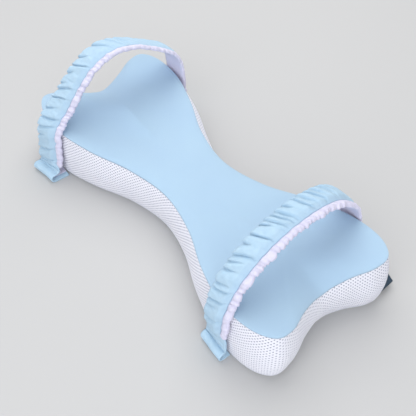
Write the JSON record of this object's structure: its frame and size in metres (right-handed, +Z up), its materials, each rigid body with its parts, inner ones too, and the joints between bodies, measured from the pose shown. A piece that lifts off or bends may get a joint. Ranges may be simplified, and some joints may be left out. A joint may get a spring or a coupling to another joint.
{
  "type": "knee pillow",
  "caption": "Bone-shaped filled pillow for between the knees, with a smooth top, mesh sides and two gathered loops for the legs.",
  "frame": {"origin": "on the floor under the middle of the pillow, at the middle of its flat underside", "axes": "+X along the pillow, from one wide end to the other, +Y across it, and +Z up from the floor"},
  "size_m": [0.5022, 0.2536, 0.1602],
  "materials": {
    "air_mesh": "matte",
    "top_cloth": "matte",
    "base_cloth": "matte",
    "strap_cotton": "matte",
    "lining_cotton": "matte",
    "label_tape": "matte"
  },
  "bodies": {
    "root": {"filled_pillow": "air_mesh", "top_panel": "top_cloth", "bottom_panel": "base_cloth", "left_strap_outer": "strap_cotton", "left_strap_lining": "lining_cotton", "right_strap_outer": "strap_cotton", "right_strap_lining": "lining_cotton", "label": "label_tape"}
  },
  "joints": []
}
